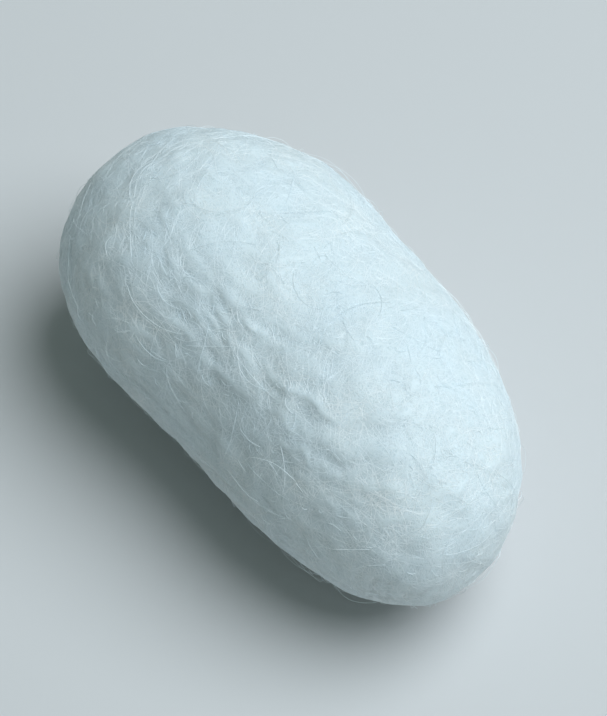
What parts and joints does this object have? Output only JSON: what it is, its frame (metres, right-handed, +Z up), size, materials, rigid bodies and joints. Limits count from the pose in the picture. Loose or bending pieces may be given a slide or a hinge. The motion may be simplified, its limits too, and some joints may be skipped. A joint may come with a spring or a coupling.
{
  "type": "silk cocoon",
  "caption": "White silk cocoon lying on its side: a blunt, slightly waisted and bent oval shell, crinkled all over, with small flat spots that it rests on.",
  "frame": {"origin": "on the ground under the middle of the cocoon's box", "axes": "+X along the cocoon towards its narrower end, +Z up from the surface that it rests on, +Y towards the side that bulges"},
  "size_m": [0.036, 0.0194, 0.0191],
  "materials": {
    "silk": "matte raw silk"
  },
  "bodies": {
    "root": {"cocoon": "silk"}
  },
  "joints": []
}
